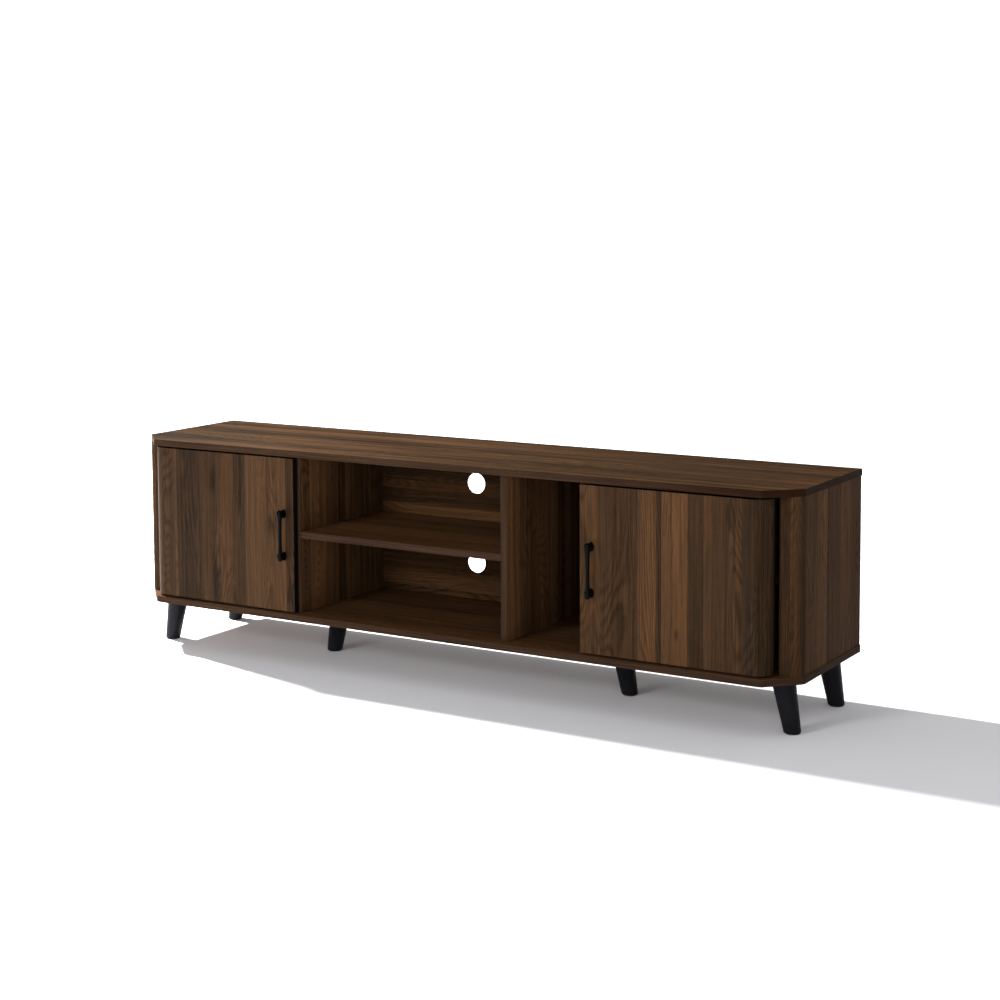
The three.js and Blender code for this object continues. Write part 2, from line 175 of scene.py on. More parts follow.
# How far each layer moves the tone.
BROAD_TONE = 0.34
ARCH_TONE = -0.22
FIBRE_TONE = 0.80
STREAK_TONE = 0.62
PORE_TONE = -0.20
KNOT_TONE = 0.45

# The grain's slow bend, in cycles per metre across and along, and its reach in metres.
BEND_ACROSS = 5.0
BEND_ALONG = 2.2
BEND_REACH = 0.022

ARCH_LINES = 265.0
ARCH_SHARPNESS = 1.8
ARCH_MIDDLE = 0.35
ARCH_RAGGEDNESS = 0.018
ARCH_PATCH_RANGE = (0.36, 0.60)
KNOT_RAGGEDNESS = 3.2
PORE_RANGE = (0.60, 0.72)
PORE_DEPTH = -0.7
GREY_RANGE = (0.42, 0.66)
GREY_MOST = 0.36
GREY_SHARE = 0.55


def plank_ramps(graph, across, start, planks, seed):
    """Tone and a random shift for the plank that a point lies in; planks are (width in mm, tone)."""
    pick = random.Random(seed)
    total = sum(width for width, _ in planks) * MM
    position = graph.spread(across, start, start + total)
    tones, shifts, reached = [], [], 0.0
    for width, tone in planks:
        tones.append((reached / total, tone))
        shifts.append((reached / total, pick.random()))
        reached += width * MM
    return graph.ramp(position, tones, constant=True), graph.ramp(position, shifts, constant=True)


def knot_spots(graph, across, along, ragged, knots):
    """Dark oval spots with ragged rims; a knot is (across, along, half width, half length, darkness)."""
    spots = 0.0
    for knot_across, knot_along, half_width, half_length, darkness in knots:
        sideways = graph.math("DIVIDE", graph.math("SUBTRACT", across, knot_across), half_width)
        lengthways = graph.math("DIVIDE", graph.math("SUBTRACT", along, knot_along), half_length)
        reach = graph.math(
            "ADD", graph.math("MULTIPLY", sideways, sideways), graph.math("MULTIPLY", lengthways, lengthways))
        reach = graph.math("MAXIMUM", graph.sway(reach, ragged, KNOT_RAGGEDNESS), 0.0)
        fade = graph.math("EXPONENT", graph.math("MULTIPLY", reach, -1.0))
        spots = graph.math("ADD", spots, graph.math("MULTIPLY", fade, darkness))
    return spots


def wood_colour(graph, across, along, tone, shift, figure, knots, contrast):
    """Walnut print: broad streaks, arched figure lines, fibres and pores. Returns colour and relief."""
    bend = graph.noise(graph.join(
        graph.math("MULTIPLY", across, BEND_ACROSS), graph.math("MULTIPLY", along, BEND_ALONG), shift))
    across = graph.sway(across, bend, BEND_REACH)
    depth = graph.math("MULTIPLY", shift, PLANK_DEPTH)

    def layer(scales, **settings):
        across_scale, along_scale, level = scales
        place = graph.join(
            graph.math("MULTIPLY", across, across_scale),
            graph.math("MULTIPLY", along, along_scale),
            graph.math("ADD", depth, level),
        )
        return graph.noise(place, **settings)

    ragged = layer(RAGGED, detail=3.0)
    spots = knot_spots(graph, across, along, ragged, knots)
    broad = layer(BROAD, detail=4.0, roughness=0.6)
    field = graph.sway(layer(ARCHES, detail=1.0, roughness=0.4), ragged, ARCH_RAGGEDNESS)
    waves = graph.math("SINE", graph.math("MULTIPLY", field, ARCH_LINES))
    arches = graph.math("POWER", graph.math("MULTIPLY_ADD", waves, 0.5, 0.5), ARCH_SHARPNESS)
    shown = graph.spread(layer(ARCH_PATCHES, detail=1.0), *ARCH_PATCH_RANGE)
    arches = graph.math("MULTIPLY", graph.math("SUBTRACT", arches, ARCH_MIDDLE), shown)
    fibres = layer(FIBRES, detail=3.0, roughness=0.65)
    streaks = layer(STREAKS, detail=3.0, roughness=0.6)
    pores = graph.spread(layer(PORES, detail=1.0), *PORE_RANGE)

    tone = graph.sway(tone, broad, BROAD_TONE * contrast)
    tone = graph.math("MULTIPLY_ADD", arches, ARCH_TONE * figure, tone)
    tone = graph.sway(tone, fibres, FIBRE_TONE)
    tone = graph.sway(tone, streaks, STREAK_TONE * contrast)
    tone = graph.math("SUBTRACT", tone, graph.math("MULTIPLY", spots, KNOT_TONE))
    tone = graph.math("MULTIPLY_ADD", pores, PORE_TONE, tone, clamp=True)
    colour = graph.ramp(tone, WOOD_TONES)
    grey = graph.spread(layer(GREY_PATCHES, detail=2.0), *GREY_RANGE, 0.0, GREY_MOST)
    colour = graph.mix(grey, colour, graph.mix(GREY_SHARE, colour, GREY_WOOD))
    relief = graph.math("MULTIPLY_ADD", pores, PORE_DEPTH, fibres)
    return colour, relief


# ---------------------------------------------------------------- laminate boards


BROWN_BAND = ((0.0155, 0.0082, 0.0045), (0.0440, 0.0245, 0.0145))
# Door edges: a black edge band on the free edges; on the top and bottom edges and the flat ends it is painted
# shade for the dark gaps round the doors.
BLACK_BAND_AND_GAP_SHADE = ((0.0020, 0.0018, 0.0018), (0.0045, 0.0038, 0.0035))
# Colour that the top's edge band darkens to towards its right end: painted shade.
PAINTED_SHADE_BAND_END = (0.0100, 0.0030, 0.0010)

# Line frequency of an edge band, in cycles per metre through the board and along its edge.
BAND_THROUGH = 330.0
BAND_ALONG = 4.0

# Spans of X over which a board's right-hand band darkens as painted shade, and over which its left end
# is darkened as painted shade and its right end lightened as painted light.
BAND_PAINTED_SHADE_SPAN = (0.25, 0.85)
LEFT_PAINTED_SHADE_SPAN = (-0.88, -0.50)
RIGHT_PAINTED_LIGHT_SPAN = (0.72, 0.88)

# Least share of a normal that points along an axis, for a printed face, a free edge and a flat end.
# A door's flat end takes the black band as painted shade.
FACE_FACING = 0.45
EDGE_FACING = 0.8
PAINTED_SHADE_END_FACING = 0.996
FREE_EDGE_MARGIN = 0.4 * MM

# Specular levels
DOOR_SHEEN = 0.020
TOP_SHEEN = 0.010
SIDE_SHEEN = 0.007

# Planks as (width in mm, tone): from the front on flat boards, sides and dividers, from the middle on
# doors and posts, and from the bottom on the back.
LEFT_DOOR_PLANKS = [
    (23, 0.24), (125, 0.51), (40, 0.24), (40, 0.42), (62, 0.31), (75, 0.15), (9, 0.44), (110, 0.31)]
RIGHT_DOOR_PLANKS = [
    (50, 0.47), (92, 0.34), (45, 0.61), (12, 0.26), (63, 0.62), (37, 0.25), (20, 0.50), (70, 0.39),
    (35, 0.24), (60, 0.18)]
TOP_PLANKS = [(55, 0.45), (70, 0.30), (75, 0.38), (70, 0.30), (50, 0.47), (60, 0.36), (36, 0.28)]
# The niche, divider, back, shelf and bottom tones are set lighter than the doors' to lift the shade inside
# the open bays: partly the print's own tone, partly painted light.
NICHE_PLANKS = [(60, 0.82), (75, 0.50), (65, 0.68), (35, 0.76), (35, 0.38), (30, 0.66), (60, 0.42)]
DIVIDER_PLANKS = [(38, 0.50), (40, 0.80), (78, 0.66), (30, 0.38), (40, 0.64), (135, 0.54)]
BACK_PLANKS = [
    (20, 0.34), (40, 0.58), (60, 0.36), (80, 0.32), (32, 0.84), (38, 0.38), (22, 0.60), (110, 0.48)]
SIDE_PLANKS = [(75, 0.50), (55, 0.66), (80, 0.42), (60, 0.56), (60, 0.44)]
POST_PLANKS = [(26, 0.24), (24, 0.37), (60, 0.31)]
SHELF_PLANKS = [(60, 0.72), (45, 0.80), (80, 0.94), (60, 0.82), (50, 0.74), (80, 0.92)]
BOTTOM_PLANKS = [(70, 0.66), (60, 0.60), (85, 0.72), (60, 0.56), (55, 0.68), (100, 0.62)]

LEFT_DOOR_KNOTS = [
    (0.272, 0.346, 0.016, 0.030, 0.55), (0.457, 0.451, 0.008, 0.030, 0.8), (0.450, 0.190, 0.010, 0.050, 0.7)]
RIGHT_DOOR_KNOTS = [(0.443, 0.205, 0.005, 0.010, 0.6), (0.572, 0.470, 0.010, 0.022, 0.6)]
DOOR_PRINTS = {
    "left": (LEFT_DOOR_PLANKS, LEFT_DOOR_KNOTS, 21, 0.9),
    "right": (RIGHT_DOOR_PLANKS, RIGHT_DOOR_KNOTS, 22, 0.8),
}


def plank_start(node, grain):
    """Where the first plank starts at a node's lowest corner, measured as laminate measures across."""
    low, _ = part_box(node)
    return low.x + low.y if grain == "up" else low.y + low.z


def band_colour(graph, place, faces, seed, band, fade):
    """Fine lines along the edge; fade is how far the band darkens towards the right end, as painted shade."""
    x, y, z = place
    through, first, second = {"x": (x, y, z), "z": (z, x, y)}.get(faces, (y, x, z))
    along = graph.math("ADD", first, second)
    lines = graph.noise(
        graph.join(
            graph.math("MULTIPLY", through, BAND_THROUGH), graph.math("MULTIPLY", along, BAND_ALONG), seed),
        detail=4.0, roughness=0.6)
    colour = graph.mix(graph.spread(lines, 0.3, 0.7), *band)
    # Painted shade: the band darkens towards the right end.
    return graph.mix(graph.spread(x, *BAND_PAINTED_SHADE_SPAN, 0.0, fade), colour, PAINTED_SHADE_BAND_END)


def printed_share(graph, x, faces, free_edge):
    """1 where a point lies on a printed face, 0 on a banded edge and on a door's flat end, which is painted
    shade.
    """
    normal = dict(zip("xyz", graph.split(graph.coordinates.outputs["Normal"])))
    if faces == "upright":
        facing = graph.math("SUBTRACT", 1.0, graph.math("ABSOLUTE", normal["z"]))
    else:
        facing = graph.math("ABSOLUTE", normal[faces])
    printed = graph.math("GREATER_THAN", facing, FACE_FACING)
    if free_edge:
        inner = graph.math("LESS_THAN", graph.math("ABSOLUTE", x), free_edge)
        sideways = graph.math("ABSOLUTE", normal["x"])
        on_edge = graph.math("MULTIPLY", inner, graph.math("GREATER_THAN", sideways, EDGE_FACING))
        printed = graph.math("SUBTRACT", printed, on_edge, clamp=True)
        # Painted shade: a door's flat end takes the black band, for the dark gap beside the post.
        painted_shade_end = graph.math("GREATER_THAN", sideways, PAINTED_SHADE_END_FACING)
        printed = graph.math("SUBTRACT", printed, painted_shade_end, clamp=True)
    return printed


def laminate(name, node, grain, faces, planks, seed, offset=0.0, figure=1.0, knots=(), band=BROWN_BAND,
             free_edge=0.0, sheen=SIDE_SHEEN, coarse=1.0, band_painted_shade=0.0, painted_shade_and_light_ends=(), contrast=1.0):
    """Printed walnut laminate, whose planks start at a node's lowest corner, or offset from it.

    grain is 'up' or 'along'. faces is the axis that the two big faces look along, or 'upright' for a
    board that is printed all round. The other sides take the band colours, and so do a flat end and an
    upright side nearer the middle than free_edge; on a door the band on the top and bottom edges and the
    flat ends is painted shade for the dark gaps round it. coarse stretches the print across the grain.
    The shift of tone at the left and right ends darkens the left end as painted shade and lightens the
    right end as painted light. The band's fade darkens it towards the right end as painted shade."""
    graph = Graph(name)
    place = tuple(graph.split(graph.coordinates.outputs["Object"]))
    x, y, z = place
    if grain == "up":
        across, along = graph.math("ADD", graph.math("ABSOLUTE", x), y), z
    else:
        across, along = graph.math("ADD", y, z), x
    tone, shift = plank_ramps(graph, across, plank_start(node, grain) + offset, planks, seed)
    # Painted shade towards the left end and painted light towards the right end.
    if painted_shade_and_light_ends:
        left_painted_shade, right_painted_light = painted_shade_and_light_ends
        tone = graph.math("ADD", tone, graph.spread(x, *LEFT_PAINTED_SHADE_SPAN, left_painted_shade, 0.0))
        tone = graph.math("ADD", tone, graph.spread(x, *RIGHT_PAINTED_LIGHT_SPAN, 0.0, right_painted_light))
    fine = graph.math("DIVIDE", across, coarse)
    print_colour, relief = wood_colour(
        graph, fine, along, tone, shift, figure, knots, contrast * coarse ** 0.5)
    edge_colour = band_colour(graph, place, faces, seed, band, band_painted_shade)
    colour = graph.mix(printed_share(graph, x, faces, free_edge), edge_colour, print_colour)
    smudge = graph.noise(graph.coordinates.outputs["Object"], scale=7.0, detail=3.0)
    roughness = graph.math("MULTIPLY_ADD", smudge, 0.14, graph.math("MULTIPLY_ADD", relief, -0.10, 0.50))
    graph.bump(relief, 0.12 * MM, 0.55)
    return graph.surface(Base_Color=colour, Roughness=roughness, Specular_IOR_Level=sheen)


def board_materials():
    """Makes the laminates, and returns each board's own by the name of its node."""
    chosen = {
        # The top's ends change tone and its band darkens to the right: painted shade and painted light.
        "top_panel": laminate(
            "top_laminate", "top_panel", "along", "z", TOP_PLANKS, 11, offset=BOARD, figure=0.5,
            sheen=TOP_SHEEN, coarse=2.4, band_painted_shade=0.75, painted_shade_and_light_ends=(-0.22, 0.08)),
        "bottom_panel": laminate(
            "bottom_laminate", "bottom_panel", "along", "z", BOTTOM_PLANKS, 12, offset=BOARD, figure=0.6,
            coarse=1.8),
        "middle_divider": laminate(
            "niche_laminate", "middle_divider", "up", "x", NICHE_PLANKS, 41, offset=BOARD, figure=0.9,
            contrast=1.35),
        "centre_shelf": laminate(
            "shelf_laminate", "centre_shelf", "along", "z", SHELF_PLANKS, 51, figure=0.6, coarse=1.8),
        "back_panel": laminate(
            "back_laminate", "back_panel", "along", "y", BACK_PLANKS, 61, figure=1.1, contrast=1.4),
    }
    door_low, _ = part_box("right_door")
    for side, (planks, knots, seed, contrast) in DOOR_PRINTS.items():
        chosen[f"{side}_door"] = laminate(
            f"{side}_door_laminate", "right_door", "up", "upright", planks, seed, knots=knots,
            band=BLACK_BAND_AND_GAP_SHADE, free_edge=door_low.x + FREE_EDGE_MARGIN, sheen=DOOR_SHEEN, contrast=contrast)
    paired = {
        "side_panel": laminate("side_laminate", "right_side_panel", "up", "x", SIDE_PLANKS, 31, figure=0.9),
        "front_post": laminate(
            "post_laminate", "right_front_post", "up", "upright", POST_PLANKS, 32, figure=0.8),
        "divider": laminate(
            "divider_laminate", "right_divider", "up", "x", DIVIDER_PLANKS, 42, contrast=1.35),
        "cupboard_shelf": laminate(
            "loose_shelf_laminate", "right_cupboard_shelf", "along", "z", SHELF_PLANKS, 52),
    }
    for side in SIDES:
        for board, material in paired.items():
            chosen[f"{side}_{board}"] = material
    return chosen


# ---------------------------------------------------------------- other materials


def satin_black(name, colour, roughness, grain, specular):
    """Sprayed or moulded black with a faint orange-peel relief and rubbed patches."""
    graph = Graph(name)
    place = graph.coordinates.outputs["Object"]
    peel = graph.noise(place, scale=grain, detail=2.0)
    rubbed = graph.noise(place, scale=22.0, detail=4.0, roughness=0.6)
    lighter = tuple(1.9 * value for value in colour)
    shade = graph.mix(graph.spread(rubbed, 0.45, 0.75, 0.0, 0.5), colour, lighter)
    rough = graph.math("MULTIPLY_ADD", rubbed, 0.16, graph.math("MULTIPLY_ADD", peel, 0.05, roughness - 0.1))
    graph.bump(peel, 0.05 * MM, 0.35)
    return graph.surface(Base_Color=shade, Roughness=rough, Specular_IOR_Level=specular)


def plated_steel(name, colour, roughness):
    """Zinc plate with fine brushing and slightly uneven tone."""
    graph = Graph(name)
    x, y, z = graph.split(graph.coordinates.outputs["Object"])
    brushed = graph.noise(
        graph.join(
            graph.math("MULTIPLY", x, 2600.0),
            graph.math("MULTIPLY", y, 180.0),
            graph.math("MULTIPLY", z, 2600.0)),
        detail=2.0)
    cloud = graph.noise(graph.coordinates.outputs["Object"], scale=90.0, detail=3.0)
    darker = tuple(0.72 * value for value in colour)
    shade = graph.mix(graph.spread(cloud, 0.35, 0.65), darker, colour)
    rough = graph.math("MULTIPLY_ADD", brushed, 0.18, roughness - 0.09)
    graph.bump(brushed, 0.02 * MM, 0.4)
    return graph.surface(Base_Color=shade, Roughness=rough, Metallic=1.0)


def moulded(name, colour, roughness):
    """Injection-moulded plastic with a fine spark-eroded texture."""
    graph = Graph(name)
    place = graph.coordinates.outputs["Object"]
    speck = graph.noise(place, scale=1800.0, detail=2.0)
    cloud = graph.noise(place, scale=45.0, detail=2.0)
    darker = tuple(0.8 * value for value in colour)
    shade = graph.mix(graph.spread(cloud, 0.3, 0.7), darker, colour)
    rough = graph.math("MULTIPLY_ADD", speck, 0.12, roughness - 0.06)
    graph.bump(speck, 0.03 * MM, 0.5)
    return graph.surface(Base_Color=shade, Roughness=rough, Specular_IOR_Level=0.15)


# ---------------------------------------------------------------- shared piece helpers


SHARP_EDGE = math.radians(35)
BEVELLED_EDGE = math.radians(40)


def smooth_group():
    """Geometry nodes that shade faces smooth and keep edges over SHARP_EDGE sharp."""
    group = bpy.data.node_groups.new("smooth_by_angle", "GeometryNodeTree")
    group.interface.new_socket("Geometry", in_out="INPUT", socket_type="NodeSocketGeometry")
    group.interface.new_socket("Geometry", in_out="OUTPUT", socket_type="NodeSocketGeometry")
    start = group.nodes.new("NodeGroupInput")
    end = group.nodes.new("NodeGroupOutput")
    faces = group.nodes.new("GeometryNodeSetShadeSmooth")
    faces.domain = "FACE"
    edges = group.nodes.new("GeometryNodeSetShadeSmooth")
    edges.domain = "EDGE"
    angle = group.nodes.new("GeometryNodeInputMeshEdgeAngle")
    small = group.nodes.new("FunctionNodeCompare")
    small.operation = "LESS_THAN"
    small.inputs[1].default_value = SHARP_EDGE
    group.links.new(start.outputs[0], faces.inputs["Geometry"])
    group.links.new(faces.outputs[0], edges.inputs["Geometry"])
    group.links.new(angle.outputs[0], small.inputs[0])
    group.links.new(small.outputs[0], edges.inputs["Shade Smooth"])
    group.links.new(edges.outputs[0], end.inputs[0])
    return group


SMOOTH = smooth_group()


def soften(piece, width, segments=2):
    """Rounds a piece's sharp edges by width and shades it smooth by angle."""
    if width:
        bevel = piece.modifiers.new("edges", "BEVEL")
        bevel.width = width
        bevel.segments = segments
        bevel.limit_method = "ANGLE"
        bevel.angle_limit = BEVELLED_EDGE
        bevel.use_clamp_overlap = True
    smooth = piece.modifiers.new("smooth", "NODES")
    smooth.node_group = SMOOTH


def paint(piece, material):
    if piece.material_slots:
        piece.material_slots[0].material = material
    else:
        piece.data.materials.append(material)


def new_piece(name, mesh_data, body, material):
    """Turns a bmesh into an object that rides on a body."""
    mesh = bpy.data.meshes.new(name)
    bmesh.ops.recalc_face_normals(mesh_data, faces=mesh_data.faces)
    mesh_data.to_mesh(mesh)
    mesh_data.free()
    piece = bpy.data.objects.new(name, mesh)
    bpy.context.scene.collection.objects.link(piece)
    mesh.materials.append(material)
    for face in mesh.polygons:
        face.use_smooth = True
    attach(piece, body)
    return piece


def loft(mesh_data, rings):
    """Joins rings of points with the same count into a closed skin, capped at both ends."""
    loops = [[mesh_data.verts.new(point) for point in ring] for ring in rings]
    count = len(loops[0])
    for near, far in zip(loops, loops[1:]):
        for i in range(count):
            j = (i + 1) % count
            mesh_data.faces.new((near[i], near[j], far[j], far[i]))
    mesh_data.faces.new(loops[0][::-1])
    mesh_data.faces.new(loops[-1])


def turns_of(count):
    """Equal turns round a circle, in radians."""
    return [2 * math.pi * i / count for i in range(count)]


def ellipse(centre, first, second, count):
    """Points round an ellipse spanned by two half-axis vectors."""
    return [centre + first * math.cos(t) + second * math.sin(t) for t in turns_of(count)]


def catmull_rom(p, q, r, s, t):
    """Value at share t of the way from q to r, with p before them and s after them."""
    return 0.5 * (
        2 * q + (r - p) * t + (2 * p - 5 * q + 4 * r - s) * t ** 2 + (3 * q - p - 3 * r + s) * t ** 3)


def smooth_curve(knots, steps):
    """Catmull-Rom values through knots of equal-length tuples, with steps values from knot to knot."""
    padded = [knots[0], *knots, knots[-1]]
    values = []
    for i in range(1, len(padded) - 2):
        for step in range(steps):
            values.append(tuple(catmull_rom(*four, step / steps) for four in zip(*padded[i - 1:i + 3])))
    values.append(tuple(map(float, knots[-1])))
    return values


# ---------------------------------------------------------------- handles


# (radius, distance from the door) of a post and (radius, distance from the middle) of the bar, in mm
POST_PROFILE = [
    (11.0, 0.0), (10.9, 1.0), (9.8, 4.5), (9.6, 9.5), (10.3, 14.0), (11.0, 17.5), (10.6, 20.5), (8.8, 22.8),
    (5.4, 24.0), (0.6, 24.4)]
BAR_PROFILE = [(6.3, -50.0), (6.0, -40.0), (5.2, -24.0), (4.8, 0.0), (5.2, 24.0), (6.0, 40.0), (6.3, 50.0)]
POST_RADIUS = 10.5 * MM
POST_FLATNESS = 0.66
POST_POINTS = 40
BAR_CENTRE = 17.5 * MM
BAR_FLATNESS = 0.92
BAR_POINTS = 32
PROFILE_STEPS = 6
BLEND_VOXEL = 0.7 * MM


def handle(side, body, material):
    """Cast bar pull: two flared oval posts and a slim waisted bar, blended into one skin."""
    node = f"{side}_handle"
    low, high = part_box(node)
    middle = (low + high) / 2
    spacing = (high.z - low.z) / 2 - POST_RADIUS
    face = high.y
    mesh_data = bmesh.new()
    for end in (-1, 1):
        centre = Vector((middle.x, face, middle.z + end * spacing))
        loft(mesh_data, [
            ellipse(
                centre - Vector((0, along * MM, 0)), Vector((radius * POST_FLATNESS * MM, 0, 0)),
                Vector((0, 0, radius * MM)), POST_POINTS)
            for radius, along in smooth_curve(POST_PROFILE, PROFILE_STEPS)])
    centre = Vector((middle.x, face - BAR_CENTRE, middle.z))
    loft(mesh_data, [
        ellipse(
            centre + Vector((0, 0, along * MM)), Vector((radius * BAR_FLATNESS * MM, 0, 0)),
            Vector((0, radius * MM, 0)), BAR_POINTS)
        for radius, along in smooth_curve(BAR_PROFILE, PROFILE_STEPS)])
    piece = new_piece(f"{side}_bar_pull", mesh_data, body, material)
    remesh = piece.modifiers.new("blend", "REMESH")
    remesh.mode = "VOXEL"
    remesh.voxel_size = BLEND_VOXEL
    remesh.use_smooth_shade = True
    ease = piece.modifiers.new("ease", "SMOOTH")
    ease.factor = 0.5
    ease.iterations = 6
    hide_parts(node)


# ---------------------------------------------------------------- legs


LEG_FOOT_RADIUS = 19
LEG_TOP_RADIUS = 26.5
LEG_POINTS = 72
GLIDE_POINTS = 48
GLIDE_HEIGHT = 2.4 * MM

# (share of the foot's radius, height) of the foot's rounded rim and of the glide
FOOT_RIM = [(0.9, GLIDE_HEIGHT), (0.97, GLIDE_HEIGHT + 0.7 * MM), (1.0, GLIDE_HEIGHT + 2.2 * MM)]
GLIDE_PROFILE = [(0.78, 0.0), (0.84, 0.35 * MM), (0.86, 1.0 * MM), (0.86, GLIDE_HEIGHT)]


def leg(side, place, material, glide_material):
    """Tapered round leg on a thin glide, leaning outwards as its plate and foot say."""
    node = f"{side}_{place}_leg"
    low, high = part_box(node)
    plate_low, plate_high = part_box(f"{node}_plate")
    top = (plate_low + plate_high) / 2
    out = SIDES[side]
    top_radius = (high.y - low.y) / 2
    foot_radius = top_radius * LEG_FOOT_RADIUS / LEG_TOP_RADIUS
    foot_x = (high.x if out > 0 else low.x) - out * foot_radius

    def rings(profile, count):
        """Level rings of (radius, height), each centred on the leaning axis."""
        for radius, height in profile:
            share = height / high.z
            centre = Vector((foot_x + (top.x - foot_x) * share, top.y, height))
            yield ellipse(centre, Vector((radius, 0, 0)), Vector((0, radius, 0)), count)

    leg_profile = [(share * foot_radius, height) for share, height in FOOT_RIM] + [(top_radius, high.z)]
    mesh_data = bmesh.new()
    loft(mesh_data, rings(leg_profile, LEG_POINTS))
    piece = new_piece(f"{side}_{place}_turned_leg", mesh_data, "carcass", material)
    soften(piece, 0)
    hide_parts(node)
    glide_profile = [(share * foot_radius, height) for share, height in GLIDE_PROFILE]
    glide = bmesh.new()
    loft(glide, rings(glide_profile, GLIDE_POINTS))
    pad = new_piece(f"{side}_{place}_glide", glide, "carcass", glide_material)
    soften(pad, 0)


# ---------------------------------------------------------------- small fittings


SCREW_POINTS = 48
SHANK_LENGTH = 24.0 * MM
SCREW_TIP = 0.6 * MM

# Shares of the screw head's radius and, for heights and depths, of its thickness
TIP_RADIUS = 0.35
SHANK_RADIUS = 0.49
HEAD_PROFILE = [(1.0, 0.0), (1.0, 0.45), (0.90, 0.80), (0.72, 1.0)]
RECESS_ARM = 0.58
RECESS_HALF_WIDTH = 0.17
RECESS_DEPTH = 0.8
RECESS_FLOOR = 0.62

POLE_OFFSET = 6.0 * MM
POLE_END_INSET = 3.0 * MM
POLE_HALF_DEPTH = 3.0 * MM
POLE_HALF_THICK = 0.8 * MM
POLE_PROUD = 0.25 * MM
POLE_EDGE = 0.2 * MM


def cross_radius(turn):
    """Distance from the centre of a cross-shaped recess to its outline, as a share of the head radius."""
    off_arm = abs((turn + math.pi / 4) % (math.pi / 2) - math.pi / 4)
    along_arm = RECESS_ARM / math.cos(off_arm)
    beside_arm = RECESS_HALF_WIDTH / max(math.sin(off_arm), 0.01)
    return min(along_arm, beside_arm)


def full_radius(turn):
    """Outline of a round ring, for any turn."""
    return 1.0


def handle_screw(side, level, body, material):
    """Pan-head machine screw with a cross recess, from inside the door into the handle's post."""
    node = f"{side}_handle_{level}_screw"
    low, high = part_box(node)
    middle = (low + high) / 2
    head_radius = (high.x - low.x) / 2
    head_height = high.y - low.y - SHANK_LENGTH
    seat = high.y - head_height

    def ring(y, share, outline=full_radius):
        points = []
        for t in turns_of(SCREW_POINTS):
            radius = share * head_radius * outline(t)
            points.append(Vector((middle.x + radius * math.cos(t), y, middle.z + radius * math.sin(t))))
        return points

    mesh_data = bmesh.new()
    loft(mesh_data, [
        ring(low.y, TIP_RADIUS),
        ring(low.y + SCREW_TIP, SHANK_RADIUS),
        ring(seat, SHANK_RADIUS),
        *(ring(seat + height * head_height, radius) for radius, height in HEAD_PROFILE),
        ring(high.y, 1.0, cross_radius),
        ring(high.y - RECESS_DEPTH * head_height, RECESS_FLOOR, cross_radius),
    ])
    piece = new_piece(f"{side}_{level}_handle_screw", mesh_data, body, material)
    soften(piece, 0)
    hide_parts(node)


def catch_poles(side, material):
    """Two thin steel pole strips that stand just proud of the magnetic catch's plastic body."""
    low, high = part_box(f"{side}_magnetic_catch")
    middle = (low + high) / 2
    half_width = (high.x - low.x) / 2 - POLE_END_INSET
    corners = [
        (-half_width, -POLE_HALF_THICK), (half_width, -POLE_HALF_THICK),
        (half_width, POLE_HALF_THICK), (-half_width, POLE_HALF_THICK)]
    for name, offset in (("lower", -POLE_OFFSET), ("upper", POLE_OFFSET)):
        centre = Vector((middle.x, low.y + POLE_HALF_DEPTH - POLE_PROUD, middle.z + offset))
        mesh_data = bmesh.new()
        loft(mesh_data, [
            [centre + Vector((x, y, z)) for x, z in corners]
            for y in (-POLE_HALF_DEPTH, POLE_HALF_DEPTH)])
        strip = new_piece(f"{side}_{name}_catch_pole", mesh_data, "carcass", material)
        soften(strip, POLE_EDGE)


# ---------------------------------------------------------------- stage


FLOOR_HALF_SIZE = 40.0
FLOOR_DROP = 0.1 * MM
FLOOR_SHADES = ((0.785, 0.785, 0.815), (0.815, 0.815, 0.845))

# Distances from the middle of the stand between which the floor comes up to full glow
GLOW_START = 2.2
GLOW_FULL = 4.5

# Strength of the surroundings as diffuse light, in reflections and behind the stand
AMBIENT = 0.55
MIRRORED = 0.12
BACKDROP = 1.05

# Name, kind, watts, place, target and settings
LAMPS = [
    ("left_lamp", "POINT", 1850.0, (-2.6, 0.29, 2.06), (0, 0, 0), {"shadow_soft_size": 0.07}),
    ("front_softbox", "AREA", 90.0, (-0.9, -4.2, 1.8), (0, 0, 0.3), {"shape": "SQUARE", "size": 1.0}),
    ("right_fill", "AREA", 46.0, (2.5, -3.5, 1.3), (0, 0, 0.3), {"shape": "SQUARE", "size": 1.8}),
]

# Camera: place, angles in degrees, focal length as a share of the sensor's width, and downward shift
CAMERA_PLACE = (2.417, -3.854, 1.178)
CAMERA_AZIMUTH = 31.24
CAMERA_PITCH = 5.0
CAMERA_ROLL = -0.28
SENSOR_WIDTH = 36.0
FOCAL_SHARE = 1.92
SHIFT_DOWN = -0.15


